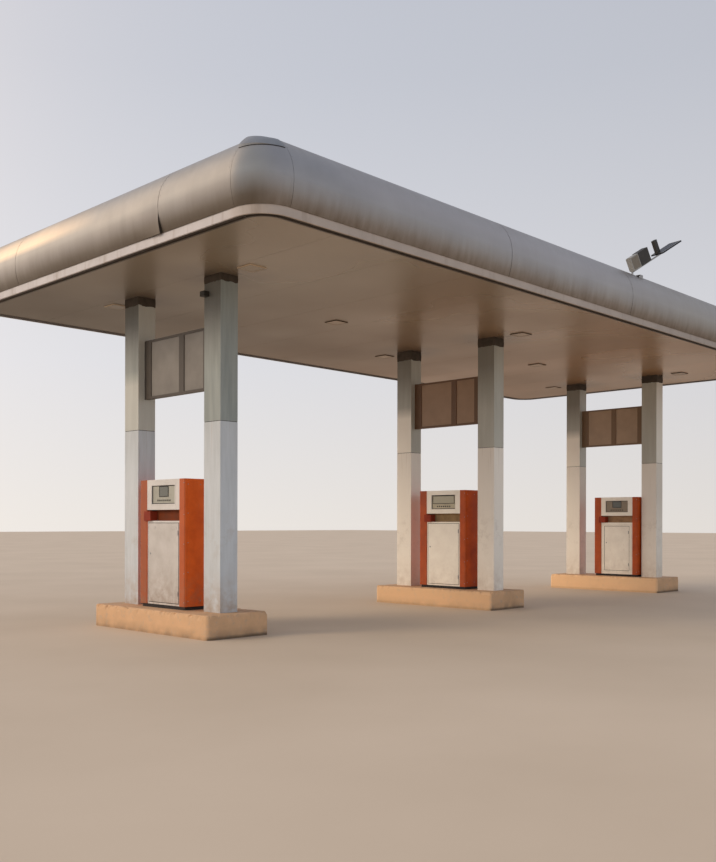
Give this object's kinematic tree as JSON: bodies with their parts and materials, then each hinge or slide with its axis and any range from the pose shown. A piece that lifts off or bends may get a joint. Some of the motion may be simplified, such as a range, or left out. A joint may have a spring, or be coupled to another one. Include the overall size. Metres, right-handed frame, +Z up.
{
  "type": "filling station canopy",
  "caption": "Flat filling station canopy with a bullnose metal fascia on paired cased columns over raised islands with dispensers",
  "frame": {"origin": "centre of the canopy in plan, on the floor", "axes": "+X along the long side of the canopy, +Y from the front fascia to the back fascia, +Z up"},
  "size_m": [15.83, 7.53, 6.7371],
  "materials": {
    "island_concrete": "ochre painted concrete, dusty and tyre marked",
    "dark_steel": "dark primer, matte",
    "casing_white": "satin white sheet, dusty low down",
    "casing_grey": "satin grey sheet, darker than the lower casings",
    "board_frame_brown": "dark brown, satin",
    "board_panel_taupe": "plain taupe grey, satin",
    "dispenser_orange": "orange enamel, worn at the edges",
    "dispenser_white": "cream white enamel",
    "dispenser_recess": "dark red brown, matte",
    "boot_red": "dark red moulded plastic",
    "screen_plate": "grey green face plate behind the head window",
    "display_glass": "dark green display glass",
    "lip_beige": "pale beige, satin",
    "soffit_trim_brown": "dark brown angle, satin",
    "soffit_taupe": "semi gloss taupe white, dusty",
    "galvanised_steel": "dull galvanised",
    "light_housing": "brown grey rim, matte",
    "lens_glass": "frosted, unlit, dusty",
    "primed_steel": "grey primer",
    "roof_sheet_zinc": "zinc grey, weathered",
    "fascia_silver": "silver metallic composite sheet, glossy, slightly waved",
    "lamp_grey": "cast grey",
    "solar_glass": "dark cells behind glass",
    "lamp_black": "matte black"
  },
  "bodies": {
    "root": {"left_island": "island_concrete", "middle_island": "island_concrete", "right_island": "island_concrete", "column_posts": "dark_steel", "front_lower_casings": "casing_white", "front_upper_casings": "casing_grey", "back_lower_casings": "casing_white", "back_upper_casings": "casing_grey", "casing_frames": "dark_steel", "board_frames": "board_frame_brown", "board_panels": "board_panel_taupe", "dispenser_bases": "dark_steel", "dispenser_pillars": "dispenser_orange", "dispenser_cabinets": "dispenser_white", "dispenser_recesses": "dispenser_recess", "dispenser_heads": "dispenser_white", "dispenser_screens": "screen_plate", "dispenser_displays": "display_glass", "nozzle_boots": "boot_red", "lip_trim": "lip_beige", "edge_beam": "dark_steel", "soffit_trim": "soffit_trim_brown", "soffit_panels": "soffit_taupe", "soffit_rails": "galvanised_steel", "soffit_lights": "light_housing", "light_lenses": "lens_glass", "cross_girders": "primed_steel", "purlin_packers": "primed_steel", "roof_purlins": "galvanised_steel", "roof_sheets": "roof_sheet_zinc", "roof_gutter": "roof_sheet_zinc", "parapet_liner": "roof_sheet_zinc", "fascia_ribs": "primed_steel", "front_fascia": "fascia_silver", "back_fascia": "fascia_silver", "left_fascia": "fascia_silver", "right_fascia": "fascia_silver", "corner_fascias": "fascia_silver", "flood_bracket": "galvanised_steel", "flood_lamp": "lamp_grey", "flood_boxes": "lamp_black", "flood_panel": "solar_glass", "column_lamp": "lamp_black"}
  },
  "joints": []
}
